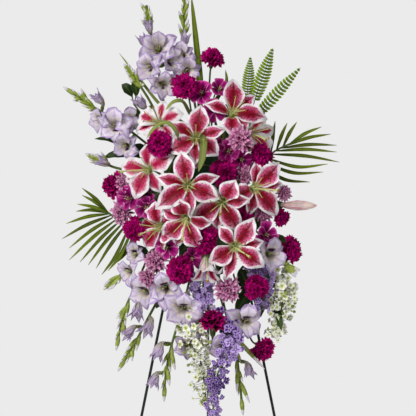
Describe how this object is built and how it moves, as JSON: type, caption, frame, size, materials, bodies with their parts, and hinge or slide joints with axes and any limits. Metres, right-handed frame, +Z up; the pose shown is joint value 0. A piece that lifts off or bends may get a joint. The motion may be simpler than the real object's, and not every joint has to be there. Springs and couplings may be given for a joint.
{
  "type": "standing funeral spray",
  "caption": "Standing spray of lilies, gladioli, carnations, chrysanthemums and greenery in a foam tray, hung on a three-legged wire easel whose back leg folds.",
  "frame": {"origin": "on the floor, under the middle of the whole piece's bounding box", "axes": "+Z up, the flowers face -Y, +X to the right as seen from in front"},
  "size_m": [0.6968, 0.8234, 1.8077],
  "materials": {
    "wire": "dark green enamelled wire, satin",
    "tray": "dark green moulded plastic, satin",
    "foam": "soaked green floral foam, matte and finely pitted",
    "lily": "crimson petals with white wavy margins and dark spots, green stalk",
    "carnation": "deep magenta frilled petals, grey-green calyx and stem",
    "chrysanthemum": "mauve rays with a burgundy centre and pale tips",
    "alstroemeria": "plum petals, darker in the throat",
    "gladiolus": "pale lavender ruffled petals, purple blotch, green sheaths",
    "larkspur": "violet-blue florets with white centres",
    "lace": "greenish white small florets",
    "palm": "olive green leaflets, semi-matte",
    "fern": "fresh green leaflets, semi-matte",
    "leaf": "dark glossy green leaves",
    "blade": "yellow-green narrow blades, semi-matte"
  },
  "bodies": {
    "spray": {"easel_leg_left": "wire", "easel_leg_right": "wire", "easel_top_bar": "wire", "easel_cross_bar": "wire", "foam_tray": "tray", "tray_tie": "wire", "foam_block": "foam", "lily_stalk_top": "lily", "lily_stalk_left": "lily", "lily_stalk_middle": "lily", "lily_stalk_right": "lily", "lily_stalk_low": "lily", "carnation_01": "carnation", "carnation_02": "carnation", "carnation_03": "carnation", "carnation_04": "carnation", "carnation_05": "carnation", "carnation_06": "carnation", "carnation_07": "carnation", "carnation_08": "carnation", "carnation_09": "carnation", "carnation_10": "carnation", "carnation_11": "carnation", "carnation_12": "carnation", "carnation_13": "carnation", "carnation_14": "carnation", "carnation_15": "carnation", "chrysanthemum_spray_top": "chrysanthemum", "chrysanthemum_spray_left": "chrysanthemum", "chrysanthemum_spray_right": "chrysanthemum", "chrysanthemum_spray_low_left": "chrysanthemum", "chrysanthemum_spray_low": "chrysanthemum", "alstroemeria_top": "alstroemeria", "alstroemeria_middle": "alstroemeria", "alstroemeria_left": "alstroemeria", "alstroemeria_right": "alstroemeria", "alstroemeria_low": "alstroemeria", "gladiolus_tall_left": "gladiolus", "gladiolus_tall_right": "gladiolus", "gladiolus_upper_left_bud": "gladiolus", "gladiolus_left": "gladiolus", "gladiolus_left_small": "gladiolus", "gladiolus_low_left_pair": "gladiolus", "gladiolus_low_left": "gladiolus", "gladiolus_low_middle": "gladiolus", "gladiolus_low_right": "gladiolus", "gladiolus_right": "gladiolus", "larkspur_hanging": "larkspur", "larkspur_right": "larkspur", "larkspur_left": "larkspur", "lace_flower_right": "lace", "lace_flower_low": "lace", "palm_leaf_right": "palm", "palm_leaf_left": "palm", "fern_fronds": "fern", "leaf_spray_left": "leaf", "leaf_spray_right": "leaf", "long_blades": "blade"},
    "back_leg": {"easel_back_leg": "wire"}
  },
  "joints": [
    {"name": "back_leg_fold", "type": "hinge", "parent": "spray", "child": "back_leg", "pos_m": [0.01854, -0.02197, 1.512], "axis": [1, 0, 0], "range_deg": [-20, 0]}
  ]
}
